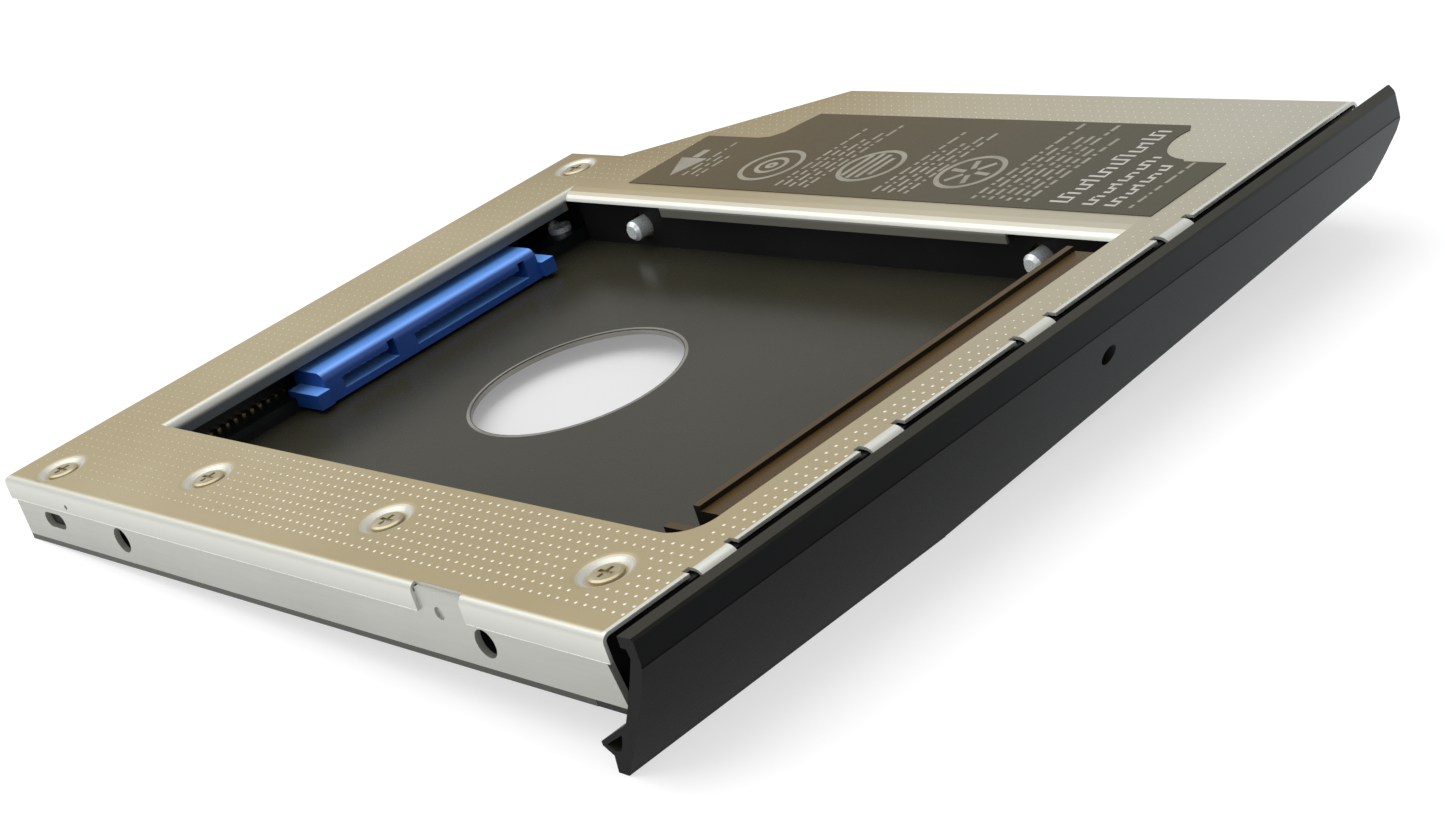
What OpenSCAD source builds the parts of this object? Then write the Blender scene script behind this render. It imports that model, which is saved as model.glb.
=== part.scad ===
// Caddy that carries a 2.5 inch drive in a laptop's slim optical-drive bay.
// X runs across the width, +Y towards the rear connector, +Z up through the top cover.
// The origin is the middle of the body's underside.

/* [Body] */
// Width across the side walls
body_width = 128; // [120:0.5:160]
// Depth from the front edge to the rear edge
body_depth = 126.1; // [124:0.1:155]
// Height of the body, without the bezel
body_height = 9.5; // [9.5:0.1:12.7]
// Size of the 45 degree cut at the rear right corner
corner_cut = 25; // [18:0.5:30]
// How far the cut starts ahead of the rear edge
corner_step = 12.5; // [9:0.5:15]

/* [Sheet metal] */
// Thickness of the top cover
cover_sheet = 0.4; // [0.3:0.05:0.5]
// Outside radius of the cover's folded edges
fold_radius = 1; // [0.6:0.1:1.2]
// Height of the cover's side skirts
skirt_height = 3.2; // [2:0.1:3.2]
// Thickness of the side and rear walls
wall_sheet = 0.8; // [0.6:0.1:1.2]
// Thickness of the base plate
base_sheet = 0.8; // [0.6:0.1:1.2]
// Width of the foot that stiffens the left wall
wall_foot = 5; // [3:0.5:7]
// How far the base plate stays behind the front edge, clear of the bezel's hook
base_setback = 5.5; // [5.2:0.1:6]

/* [Drive bay] */
// Width of the drive that the bay holds
drive_width = 69.85; // [60:0.05:70]
// Length of the drive that the bay holds
drive_length = 100.2; // [90:0.1:101]
// Free space at each side of the drive
drive_gap = 0.9; // [0.5:0.1:1.2]
// Distance from the drive's connector end to its rear side holes
drive_hole_setback = 14; // [10:0.1:20]
// Distance between the drive's side holes
drive_hole_spacing = 76.6; // [60:0.1:80]
// Height of the side holes above the drive's underside
drive_hole_height = 3; // [2.8:0.1:3.2]
// Gap under the drive
drive_floor_gap = 0.2; // [0.1:0.05:0.4]
// Width of the cover band left of the bay
left_band = 17.5; // [16:0.5:20]
// Depth of the cover band in front of the bay
front_band = 6.15; // [5.5:0.05:8]
// Space for the retainer bar in front of the drive
retainer_space = 6.5; // [6:0.1:8]
// How far the cover laps over the drive's connector end
window_lap = 0.8; // [0:0.1:2]
// Radius of the finger hole in the base plate
finger_hole_radius = 14.5; // [10:0.5:17]

/* [Window edges] */
// Radius of the window's front left corner
window_corner = 4.5; // [3:0.5:6]
// Radius of the rolled edge along the rear and the right
roll_radius = 1.2; // [0.8:0.1:1.4]
// Width of the sloping border along the window's right edge
border_run = 4; // [3:0.1:4.2]
// Depth of the flange below the top of the cover
flange_depth = 2.6; // [1.6:0.1:2.8]
// Distance of the right flange from the front edge of the window
flange_front_gap = 18.9; // [14:0.1:24]
// Distance of the right flange from the rear edge of the window
flange_rear_gap = 21.2; // [16:0.1:26]

/* [Front tabs] */
// Width of a folded tab
tab_width = 4.9; // [3:0.1:6]
// Outside radius of a folded tab
tab_radius = 1.6; // [1:0.1:1.8]
// Distance between neighbouring tabs
tab_pitch = 25.3; // [20:0.1:28]
// Distance from the left side to the first tab
tab_start = 15.6; // [12:0.1:18]
// Number of tabs
tab_count = 4; // [3:1:5]
// Width of the relief cut at each side of a tab
relief_width = 1; // [0.8:0.1:1.6]
// Depth of the relief cuts
relief_depth = 1.2; // [1:0.1:2]

/* [Cover screws] */
// Radius of a pressed dimple at the top of the cover
dimple_radius = 3.3; // [3:0.1:3.4]
// Radius of a dimple at its bottom
dimple_floor_radius = 2.3; // [2.1:0.1:2.5]
// Depth of a dimple
dimple_depth = 0.6; // [0.5:0.05:0.7]
// Radius of a screw head
screw_head_radius = 2; // [1.6:0.1:2]
// Thickness of a screw head
screw_head_height = 0.45; // [0.3:0.05:0.5]
// Radius of a screw's shank
screw_radius = 0.8; // [0.7:0.05:1]
// Length of a screw's shank
screw_length = 3.9; // [2.5:0.1:4]

/* [Lock screws] */
// Radius of a lock screw's thread
lock_radius = 1.5; // [1.2:0.05:1.6]
// Running clearance around a lock screw
lock_clearance = 0.05; // [0.03:0.01:0.08]
// Length of a left lock screw
lock_length_left = 8; // [7:0.5:9]
// Length of a right lock screw
lock_length_right = 11; // [10:0.5:12]
// Distance from the bay's edge to the right wall of the bay
right_wall_setback = 2.45; // [1.6:0.05:3]
// Radius of a threaded insert
insert_radius = 2.3; // [2.1:0.1:2.6]
// Radius of the screwdriver holes in the side walls
driver_hole_radius = 1.75; // [1.75:0.05:1.8]

/* [Retainer bar] */
// Gap around the retainer bar
bar_gap = 0.2; // [0.1:0.05:0.4]
// Length of the bar's body
bar_length = 62.5; // [50:0.5:64]
// Distance of the bar's body from the right edge of the bay
bar_end_gap = 2.7; // [2:0.1:4]
// Height of the bar's top rib below the top of the body
bar_drop = 0.7; // [0.6:0.1:1.2]
// Thickness of the latch finger
finger_thickness = 1; // [0.8:0.1:1.4]

/* [Connectors] */
// Distance of the receptacle's middle from the middle of the bay
receptacle_offset = 6; // [4:0.1:9]
// Width of the receptacle without its ears
receptacle_width = 39; // [38:0.1:42]
// Height of the receptacle
receptacle_height = 4.5; // [4.4:0.1:5.4]
// Depth of the receptacle
receptacle_depth = 7.5; // [7:0.1:8.5]
// How far the receptacle reaches into the drive
mating_depth = 4.2; // [3.5:0.1:4.5]
// Distance between neighbouring contacts
contact_pitch = 1.27; // [1.2:0.01:1.3]
// Distance of the rear plug's middle from the left side
plug_from_left = 30; // [26:0.5:34]
// Width of the rear plug
plug_width = 24; // [22:0.5:26]
// Thickness of the circuit board
board_sheet = 1; // [0.8:0.1:1.2]

/* [Bezel] */
// Width of the bezel
bezel_overhang = 1; // [0.5:0.1:2]
// How far the inside of the bezel's face stays ahead of the body at the floor
bezel_reach = 0.34; // [0.2:0.02:1.5]
// How far the bezel's top stands above the body
bezel_rise = 1.6; // [1:0.1:2]
// How far the bezel's lower edge hangs below the body
bezel_drop = 6.6; // [5:0.1:8]
// Height of the upright strip at the top of the face
bezel_upright = 3.2; // [2.5:0.1:4]
// Wall of the bezel
bezel_skin = 1.6; // [1.2:0.1:2]
// Lean of the face just below the crease, in degrees
lean_top = 27; // [24:1:30]
// Lean of the face at its lower edge, in degrees
lean_bottom = 36; // [32:1:40]
// Radius of the face's curve
face_radius = 103; // [100:1:110]
// Rise of the lower edge for each millimetre to the right
edge_slope = 0.09; // [0.03:0.001:0.1]
// Radius of the small hole in the face
eject_hole_radius = 1.2; // [0.8:0.1:1.5]

/* [Rear bracket holes] */
// Distance between the two bracket holes
bracket_spacing = 20; // [14:0.5:24]
// Radius of a bracket hole
bracket_hole_radius = 1; // [0.8:0.05:1.25]

/* [Hidden] */
$fn = 48;
over = 1;               // how far a cutting tool runs past a face

// Body planes
left = -body_width / 2;
right = body_width / 2;
front = -body_depth / 2;
rear = body_depth / 2;
top = body_height;
cover_under = top - cover_sheet;
wall_top = top - fold_radius;
step_x = right - corner_cut;
step_y = rear - corner_step;
wall_out = cover_sheet;
wall_in = cover_sheet + wall_sheet;

// Bay and drive
bay_left = left + left_band;
bay_right = bay_left + drive_width + 2 * drive_gap;
bay_front = front + front_band;
drive_front = bay_front + retainer_space;
drive_rear = drive_front + drive_length;
bay_rear = drive_rear - window_lap;
bay_mid = (bay_left + bay_right) / 2;
hole_rear = drive_rear - drive_hole_setback;
hole_front = hole_rear - drive_hole_spacing;
lock_z = base_sheet + drive_floor_gap + drive_hole_height;
lock_rows = [hole_rear, hole_front];

// Rails and beams
rail_gap = 0.1;         // the rails stop just short of the bay's edges
rail_left_face = bay_left - rail_gap;
rail_right_face = bay_right + right_wall_setback;
rail_skin = 1.5;
rail_floor = 1.2;
rib = 1.2;
cell = 10.8;
rail_rear = bay_rear + 0.6;
tray_wall = 1.2;
tray_floor = base_sheet + 1;

// Left edges of the front tabs
tab_spots = [for (i = [0:tab_count - 1]) left + tab_start - tab_width / 2 + i * tab_pitch];

// Screws through the cover: three on the left band and two at the rear
band_x = left + 9.7;
cover_screw_spots = [
    [band_x, hole_rear - 10],
    [band_x, hole_rear - 49],
    [band_x, front + 10.5],
    [left + 4.5, rear - 8.5],
    [step_x - 5.2, rear - 6.8]
];
// Screws through the base plate: two at the front and two at the rear
base_screw_spots = [
    [left + 8, front + 19],
    [right - 8, front + 19],
    [left + 4.5, rear - 8.5],
    [step_x - 5.2, rear - 6.8]
];

// Plan outline of the body, moved in by d on all sides, or by f at the front
function plan(d, f) = let (k = d * tan(22.5)) [
    [left + d, front + f],
    [right - d, front + f],
    [right - d, step_y - corner_cut - k],
    [step_x - d, step_y - k],
    [step_x - d, rear - d],
    [left + d, rear - d]
];

// Points on an arc from angle a to angle b
function arc(x, y, r, a, b, n) = [for (i = [0:n]) let (t = a + (b - a) * i / n) [x + r * cos(t), y + r * sin(t)]];

module block(x0, y0, z0, x1, y1, z1) {
    translate([x0, y0, z0])
        cube([x1 - x0, y1 - y0, z1 - z0]);
}

// Extrudes an outline drawn in Y and Z along X, from x0 to x1
module along_x(x0, x1) {
    translate([x0, 0, 0])
        rotate([90, 0, 90])
            linear_extrude(x1 - x0)
                children();
}

// Extrudes an outline drawn in X and Z along Y, from y0 to y1
module along_y(y0, y1) {
    translate([0, y1, 0])
        rotate([90, 0, 0])
            linear_extrude(y1 - y0)
                children();
}

module rod_x(x0, x1, y, z, r) {
    translate([x0, y, z])
        rotate([0, 90, 0])
            cylinder(h = x1 - x0, r = r);
}

module rod_y(x, y0, y1, z, r) {
    translate([x, y0, z])
        rotate([-90, 0, 0])
            cylinder(h = y1 - y0, r = r);
}

// ---- Top cover ----

// A bar with its two upper edges rounded, as an outline from a to b
module rounded_top(a, b, height, r) {
    translate([a, -over])
        square([b - a, height + over - r]);
    translate([a + r, -over])
        square([b - a - 2 * r, height + over]);
    translate([a + r, height - r])
        circle(r);
    translate([b - r, height - r])
        circle(r);
}

// The body's outer shape, moved in by d, with its folds rounded and its front open
module folded_block(d) {
    r = fold_radius - d;
    start = d > 0 ? front - over : front;
    intersection() {
        along_y(start, rear)
            rounded_top(left + d, step_x - d, top - d, r);
        along_x(left, right)
            rounded_top(front - 4 * over, rear - d, top - d, r);
    }
    intersection() {
        along_y(start, step_y)
            rounded_top(left + d, right - d, top - d, r);
        translate([step_x - d, step_y - d * tan(22.5), 0])
            rotate(-45)
                along_x(-body_width, body_width)
                    rounded_top(-2 * body_depth, 0, top - d, r);
    }
}

// Window outline with one large corner at the front left
module window_outline(grow, grow_right) {
    r = window_corner;
    polygon(concat(
        arc(bay_left + r, bay_front + r, r, 180, 270, 12),
        [
            [bay_right + grow_right, bay_front],
            [bay_right + grow_right, bay_rear + grow],
            [bay_left, bay_rear + grow]
        ]
    ));
}

// Section of a rolled edge: a quarter tube whose outside just reaches a and the top
module roll_section(a, r) {
    difference() {
        intersection() {
            translate([a + r, top - r])
                circle(r);
            translate([a, top - r])
                square([r, r]);
        }
        translate([a + r, top - r])
            circle(r - cover_sheet);
    }
}

// Section of the sloping border: it dips from the top and ends in the flange
module border_section() {
    k = border_run / 4;
    translate([bay_right, top])
        polygon([
            [4 * k, 0],
            [2.6 * k, -0.1],
            [1.5 * k, -0.28],
            [0.8 * k, -0.52],
            [0.3 * k, -0.84],
            [0, -1.2],
            [cover_sheet, -1.2],
            [0.75 * k, -0.98],
            [1.15 * k, -0.84],
            [1.75 * k, -0.72],
            [2.7 * k, -0.59],
            [4 * k, -cover_sheet]
        ]);
}

// A pressed dimple with a soft rim, made larger by grow for the underside of the sheet
module dimple_solid(spot, grow) {
    rim = dimple_radius + 0.5;
    cap = grow > 0 ? grow : 0.2;
    translate([spot[0], spot[1], top - grow])
        rotate_extrude()
            polygon([
                [0, -dimple_depth],
                [dimple_floor_radius, -dimple_depth],
                [dimple_floor_radius + 0.25, -dimple_depth + 0.08],
                [dimple_radius - 0.3, -0.16],
                [dimple_radius, -0.06],
                [rim - 0.2, -0.015],
                [rim, 0],
                [rim, cap],
                [0, cap]
            ]);
}

tab_bend = 0.5;         // the tabs start to bend this far behind the front edge

module front_tab(x) {
    r = tab_radius;
    along_x(x, x + tab_width) {
        difference() {
            intersection() {
                translate([front + tab_bend, top - r])
                    circle(r);
                translate([front + tab_bend - r, top - r])
                    square([r, r]);
            }
            translate([front + tab_bend, top - r])
                circle(r - cover_sheet);
        }
        translate([front + tab_bend - r, top - r - 0.4])
            square([cover_sheet, 0.4]);
    }
}

module top_cover() {
    color([0.72, 0.68, 0.56]) {
        difference() {
            union() {
                difference() {
                    intersection() {
                        folded_block(0);
                        block(left, front, top - skirt_height, right, rear, top);
                    }
                    folded_block(cover_sheet);
                    linear_extrude(top + over)
                        window_outline(roll_radius, border_run);
                }
                for (spot = cover_screw_spots)
                    dimple_solid(spot, cover_sheet);
                along_y(bay_front, bay_rear + roll_radius)
                    border_section();
                along_x(bay_left, bay_right + border_run)
                    roll_section(bay_rear, roll_radius);
            }
            for (spot = cover_screw_spots) {
                dimple_solid(spot, 0);
                translate([spot[0], spot[1], top - dimple_depth - over])
                    cylinder(h = over + 0.1, r = screw_radius + 0.15);
            }
            // Relief cuts beside the front tabs, and room for the tabs' bends
            for (x = tab_spots) {
                block(x - relief_width, front - over, top - over, x, front + relief_depth, top + over);
                block(x + tab_width, front - over, top - over, x + tab_width + relief_width, front + relief_depth, top + over);
                block(x, front - over, top - over, x + tab_width, front + tab_bend, top + over);
            }
            // Opening in the left skirt for the wall's stop
            block(left - over, hole_front + 1.7, top - skirt_height - over, left + fold_radius, hole_front + 10.4, top + over);
            // Pin mark in the left skirt
            rod_x(left - over, left + over, hole_rear + 11.6, top - 2.3, 0.35);
        }
        block(bay_right, bay_front + flange_front_gap, top - flange_depth,
            bay_right + cover_sheet, bay_rear - flange_rear_gap, top - 1.2);
        block(bay_left + 1, bay_rear, top - flange_depth, bay_right, bay_rear + cover_sheet, top - roll_radius);
        for (x = tab_spots)
            front_tab(x);
    }
}

// ---- Label on the right part of the cover ----
label_sheet = 0.1;
label_left = bay_right + 4.6;
label_right = right - 9.2;
label_notch = 6.2;

module cover_label() {
    color([0.30, 0.26, 0.17])
        translate([0, 0, top])
            linear_extrude(label_sheet)
                difference() {
                    polygon([
                        [label_left, front + 5.4],
                        [right - 19.4, front + 5.4],
                        [right - 19.4, front + 12],
                        [label_right, front + 18.6],
                        [label_right, step_y - corner_cut - 2.2],
                        [right - 12.9, step_y - corner_cut - 1.3],
                        [right - 15.6, step_y - corner_cut - 1],
                        [right - 17.4, step_y - corner_cut + 0.4],
                        [right - 17.9, step_y - corner_cut + 2.4],
                        [right - 17.9, step_y - corner_cut + 13.4],
                        [label_left, step_y - corner_cut + 13.4]
                    ]);
                    translate([right - 12.7, front + 11.9])
                        circle(label_notch);
                }
}

// ---- Screws through the cover ----
module cross_recess(depth) {
    for (turn = [0, 90])
        rotate(turn)
            translate([-1.1, -0.25, -depth])
                cube([2.2, 0.5, depth + over]);
}

module cover_screws() {
    color([0.70, 0.66, 0.52])
        for (spot = cover_screw_spots)
            translate([spot[0], spot[1], top - dimple_depth]) {
                difference() {
                    union() {
                        cylinder(h = screw_head_height - 0.15, r = screw_head_radius);
                        translate([0, 0, screw_head_height - 0.15])
                            cylinder(h = 0.15, r1 = screw_head_radius, r2 = screw_head_radius - 0.3);
                    }
                    translate([0, 0, screw_head_height])
                        cross_recess(0.25);
                }
                translate([0, 0, -screw_length])
                    cylinder(h = screw_length, r = screw_radius);
            }
}

// Room for a cover screw and its dimple in the plastic below
module cover_screw_room(spot) {
    dimple_solid(spot, cover_sheet);
    translate([spot[0], spot[1], top - dimple_depth - screw_length - 0.3])
        cylinder(h = screw_length + over, r = screw_radius + 0.05);
}

// ---- Base plate and its screws ----
base_head_radius = 1.7;
base_head_depth = 0.55;
base_screw_length = 3;

module base_plate() {
    color([0.24, 0.23, 0.20])
        difference() {
            linear_extrude(base_sheet)
                polygon(plan(wall_out, base_setback));
            translate([bay_mid + 1.7, (bay_front + bay_rear) / 2 + 13.8, -over])
                cylinder(h = base_sheet + 2 * over, r = finger_hole_radius, $fn = 96);
            for (spot = base_screw_spots)
                translate([spot[0], spot[1], -over]) {
                    cylinder(h = over + base_head_depth, r = base_head_radius + 0.05);
                    cylinder(h = 3 * over, r = screw_radius + 0.1);
                }
        }
}

module base_screws() {
    color([0.20, 0.20, 0.20])
        for (spot = base_screw_spots)
            translate([spot[0], spot[1], 0]) {
                difference() {
                    translate([0, 0, 0.05])
                        cylinder(h = base_head_depth - 0.05, r = base_head_radius);
                    mirror([0, 0, 1])
                        translate([0, 0, -0.05])
                            cross_recess(0.25);
                }
                translate([0, 0, base_head_depth])
                    cylinder(h = base_screw_length, r = screw_radius);
            }
}

module base_screw_room(spot) {
    translate([spot[0], spot[1], 0])
        cylinder(h = base_head_depth + base_screw_length + 0.3, r = screw_radius + 0.05);
}

// ---- Walls ----
module left_wall() {
    color([0.70, 0.71, 0.69])
        difference() {
            union() {
                along_x(left + wall_out, left + wall_in)
                    polygon([
                        [front + 0.2, base_sheet],
                        [front + 1.2, 5.8],
                        [front + 1.2, wall_top],
                        [rear - wall_out, wall_top],
                        [rear - wall_out, base_sheet]
                    ]);
                block(left + wall_in, front + 1.2, base_sheet, left + wall_in + wall_foot, rear - wall_in, 2 * base_sheet);
                // Stop that fills the opening in the cover's skirt
                block(left + wall_out, hole_front + 2, base_sheet, left + wall_in, hole_front + 10.1, cover_under);
            }
            for (y = lock_rows)
                rod_x(left, left + 2 * over, y, lock_z, driver_hole_radius);
            // Room for the base screw that passes through the foot
            base_screw_room(base_screw_spots[2]);
            // Dimple in the stop
            rod_x(left, left + wall_out + 0.3, hole_front + 6.9, top - 3.1, 0.8);
            // Slot for the bay's catch
            for (y = [-1.5, 1.5])
                rod_x(left, left + 2 * over, rear - 9.7 + y, lock_z + 0.1, 1.1);
            block(left, rear - 11.2, lock_z - 1, left + 2 * over, rear - 8.2, lock_z + 1.2);
            // Pin mark below the one in the skirt
            rod_x(left, left + wall_out + 0.3, hole_rear + 11.6, top - 2.3, 0.35);
        }
}

module wall_strip(height) {
    translate([0, 0, base_sheet])
        linear_extrude(height - base_sheet)
            difference() {
                polygon(plan(wall_out, 0.2));
                polygon(plan(wall_in, -over));
            }
}

module right_wall() {
    color([0.70, 0.71, 0.69])
        difference() {
            intersection() {
                wall_strip(wall_top);
                block(step_x - wall_in, front, 0, right, rear, top);
            }
            for (y = lock_rows)
                rod_x(step_x + over, right + over, y, lock_z, driver_hole_radius);
        }
}

module rear_wall() {
    color([0.70, 0.71, 0.69])
        difference() {
            block(left + wall_in, rear - wall_in, base_sheet, step_x - wall_in, rear - wall_out, wall_top);
            block(plug_left - 0.3, rear - 2 * over, plug_low - 0.3, plug_left + plug_width + 0.3, rear + over, plug_high + 0.1);
            for (x = bracket_spots)
                rod_y(x, rear - 2 * over, rear + over, bracket_z, bracket_hole_radius);
        }
}

// ---- Plastic rails and beams ----

// A grid of square cells from x0 to x1 and y0 to y1 that leaves ribs between them
module cells(x0, x1, y0, y1) {
    nx = max(1, round((x1 - x0) / (cell + rib)));
    ny = max(1, round((y1 - y0) / (cell + rib)));
    dx = (x1 - x0 + rib) / nx;
    dy = (y1 - y0 + rib) / ny;
    for (i = [0:nx - 1], j = [0:ny - 1])
        translate([x0 + i * dx, y0 + j * dy, base_sheet + rail_floor])
            cube([dx - rib, dy - rib, top]);
}

boss_half = 4;
boss_radius = 2.4;

module left_rail() {
    color([0.07, 0.07, 0.08])
        difference() {
            block(left + wall_in, bay_front - 0.1, base_sheet, rail_left_face, rail_rear, cover_under);
            block(left, front, 0, left + wall_in + wall_foot, rear, 2 * base_sheet);
            difference() {
                cells(left + wall_in + rail_skin, rail_left_face - rail_skin, bay_front + rail_skin, rail_rear - rail_skin);
                for (y = lock_rows)
                    block(rail_left_face - 10, y - boss_half, 0, bay_left, y + boss_half, top);
                for (i = [0:2])
                    translate(cover_screw_spots[i])
                        cylinder(h = top, r = dimple_radius + 0.9);
                translate(base_screw_spots[0])
                    cylinder(h = top, r = boss_radius);
            }
            for (i = [0:2])
                cover_screw_room(cover_screw_spots[i]);
            base_screw_room(base_screw_spots[0]);
            for (y = lock_rows) {
                rod_x(left, bay_left, y, lock_z, driver_hole_radius + 0.3);
                rod_x(rail_left_face - 9, bay_left, y, lock_z, lock_radius + 0.5);
                rod_x(insert_left, insert_left + insert_length_left, y, lock_z, insert_radius);
            }
        }
}

module right_rail() {
    color([0.07, 0.07, 0.08])
        difference() {
            intersection() {
                block(rail_right_face, bay_front - 0.1, base_sheet, right, rail_rear, cover_under);
                linear_extrude(top)
                    polygon(plan(wall_in, 0));
            }
            intersection() {
                difference() {
                    cells(rail_right_face + rail_skin, right - wall_in - rail_skin, bay_front + rail_skin, rail_rear - rail_skin);
                    for (y = lock_rows)
                        block(bay_right, y - boss_half, 0, rail_right_face + 9.5, y + boss_half, top);
                    translate(base_screw_spots[1])
                        cylinder(h = top, r = boss_radius);
                }
                linear_extrude(2 * top)
                    polygon(plan(wall_in + rail_skin, 0));
            }
            base_screw_room(base_screw_spots[1]);
            // Room for the window's sloping border
            block(bay_right, front, cover_under - 0.2, bay_right + border_run + 0.1, rear, top);
            for (y = lock_rows) {
                rod_x(bay_right, right, y, lock_z, lock_radius + 0.5);
                rod_x(insert_right, insert_right + insert_length_right, y, lock_z, insert_radius);
            }
        }
}

module front_beam() {
    foot = left + wall_in + wall_foot;
    color([0.07, 0.07, 0.08]) {
        difference() {
            block(left + wall_in, front + 1.2, base_sheet, right - wall_in, bay_front - 0.1, cover_under);
            block(left, front, 0, foot, rear, 2 * base_sheet);
        }
        block(foot, front, base_sheet, right - wall_in, front + 1.2, cover_under - 0.3);
        // Lip that closes the underside ahead of the base plate
        block(left + wall_out, front, 0.05, right - wall_in, front + base_setback - 0.1, base_sheet);
    }
}

module rear_tray() {
    color([0.07, 0.07, 0.08])
        difference() {
            block(left + wall_in, rail_rear, base_sheet, step_x - wall_in, rear - wall_in, cover_under);
            block(left, front, 0, left + wall_in + wall_foot, rear, 2 * base_sheet);
            block(board_left - 0.3, front, tray_floor, board_right + 0.3, rear - wall_in - tray_wall, top + over);
            block(board_left - 0.3, front, 0, max(board_right, bay_right + border_run) + 0.3, board_front, top + over);
            block(plug_left - 0.1, board_front, plug_low - 0.1, plug_left + plug_width + 0.1, rear, plug_high + 0.1);
            for (i = [3, 4])
                cover_screw_room(cover_screw_spots[i]);
            for (i = [2, 3])
                base_screw_room(base_screw_spots[i]);
            for (spot = board_screw_spots)
                translate([spot[0], spot[1], base_sheet - over])
                    cylinder(h = 3 * over, r = screw_radius + 0.05);
            for (x = bracket_spots)
                rod_y(x, rear - 5, rear, bracket_z, bracket_hole_radius + 0.3);
        }
}

// ---- Threaded inserts and lock screws ----
insert_length_left = 5;
insert_length_right = 6;
insert_left = rail_left_face - 7;
insert_right = rail_right_face + 1;
lock_tip_left = bay_left;
lock_tip_right = bay_right;

module thread_inserts() {
    color([0.75, 0.62, 0.30])
        for (y = lock_rows)
            difference() {
                union() {
                    rod_x(insert_left, insert_left + insert_length_left, y, lock_z, insert_radius);
                    rod_x(insert_right, insert_right + insert_length_right, y, lock_z, insert_radius);
                }
                rod_x(left, right, y, lock_z, lock_radius + lock_clearance);
            }
}

// A slotted screw along X, with a rounded tip at x = 0 and its slot at x = length
module lock_screw(length) {
    dome = 0.5;
    difference() {
        union() {
            translate([dome, 0, 0])
                rod_x(0, length - dome, 0, 0, lock_radius);
            translate([dome, 0, 0])
                rotate([0, -90, 0])
                    cylinder(h = dome, r1 = lock_radius, r2 = lock_radius - dome);
        }
        translate([length - 1, -lock_radius - over, -0.25])
            cube([1 + over, 2 * lock_radius + 2 * over, 0.5]);
    }
}

module left_lock(y) {
    color([0.80, 0.81, 0.82])
        translate([lock_tip_left, y, lock_z])
            rotate(180)
                lock_screw(lock_length_left);
}

module right_lock(y) {
    color([0.80, 0.81, 0.82])
        translate([lock_tip_right, y, lock_z])
            lock_screw(lock_length_right);
}

module lock_screw_left_rear() {
    left_lock(hole_rear);
}

module lock_screw_left_front() {
    left_lock(hole_front);
}

module lock_screw_right_rear() {
    right_lock(hole_rear);
}

module lock_screw_right_front() {
    right_lock(hole_front);
}

// ---- Retainer bar in front of the drive ----
bar_right = bay_right - bar_end_gap;
bar_left = bar_right - bar_length;
bar_front = bay_front + bar_gap + 0.1;
bar_rear = drive_front - bar_gap / 2;
bar_low = base_sheet + 0.05;
bar_high = top - bar_drop;
bar_rib = 1;

module retainer_bar() {
    finger_left = bar_left - 4.4;
    color([0.09, 0.08, 0.07])
        difference() {
            union() {
                along_x(bar_left, bar_right)
                    polygon([
                        [bar_front, bar_low],
                        [bar_rear, bar_low],
                        [bar_rear, bar_high],
                        [bar_rear - bar_rib, bar_high],
                        [bar_rear - bar_rib, bar_high - 0.6],
                        [bar_front, bar_high - 0.6]
                    ]);
                // Latch finger, joined to the bar by a low web
                block(finger_left, bar_front + 1, bar_low, bar_left, bar_rear, bar_low + 1.6);
                block(finger_left, bar_front + 1, bar_low, finger_left + finger_thickness, bar_rear, bar_high - 0.1);
            }
            // The bar is hollow from below
            for (i = [0:5]) {
                step = bar_length / 6;
                block(bar_left + i * step + rib, bar_front + rib, 0, bar_left + (i + 1) * step - rib / 2, bar_rear - rib, bar_high - 2);
            }
        }
}

// ---- Bezel ----
crease_z = top + bezel_rise - bezel_upright;
// The face leans back as it drops, and its inside has to stay ahead of the body
lean_floor = asin(sin(lean_top) + crease_z / face_radius);
face_run = face_radius * (cos(lean_top) - cos(lean_floor)) + bezel_skin / cos(lean_floor);
face_front = front - face_run - bezel_reach;
face_y = face_front + face_radius * cos(lean_top);
face_z = crease_z + face_radius * sin(lean_top);
bezel_low = -bezel_drop;
bezel_left = left - bezel_overhang;
bezel_right = right + bezel_overhang;
strip_width = 2.4;

module bezel_skin_outline() {
    outer = arc(face_y, face_z, face_radius, 180 + lean_top, 180 + lean_bottom, 16);
    inner = arc(face_y, face_z, face_radius - bezel_skin, 180 + lean_bottom + 0.4, 180 + lean_top, 16);
    last = outer[16];
    polygon(concat(
        [
            [face_front + strip_width, top + bezel_rise - 0.1],
            [face_front + 0.3, top + bezel_rise],
            [face_front, top + bezel_rise - 0.3]
        ],
        outer,
        [
            [last[0] + 0.5, bezel_low],
            [last[0] + 2.2, bezel_low]
        ],
        inner,
        [
            [face_front + bezel_skin, top + 0.2],
            [face_front + strip_width, top + 0.2]
        ]
    ));
}

// Finger hook that runs along the lower left part of the bezel
module bezel_hook_outline() {
    difference() {
        polygon([
            [front + 0.2, 0.1 - 0.4],
            [front + 5, -3.1],
            [front + 5, -3.6],
            [front + 3.6, -4.5],
            [front + 3.9, bezel_low],
            [front + 2.4, bezel_low],
            [front - 1.2, -0.4]
        ]);
        polygon([
            [front + 1, -1.5],
            [front + 4.2, -3.3],
            [front + 3, -3.9],
            [front + 1.8, -3.6]
        ]);
    }
}

module bezel_bar_outline() {
    inner = arc(face_y, face_z, face_radius - bezel_skin + 0.4, 180 + lean_top, 180 + lean_top + 3.6, 8);
    polygon(concat(
        [[front, crease_z - 0.2]],
        inner,
        [[front, inner[8][1]]]
    ));
}

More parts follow.
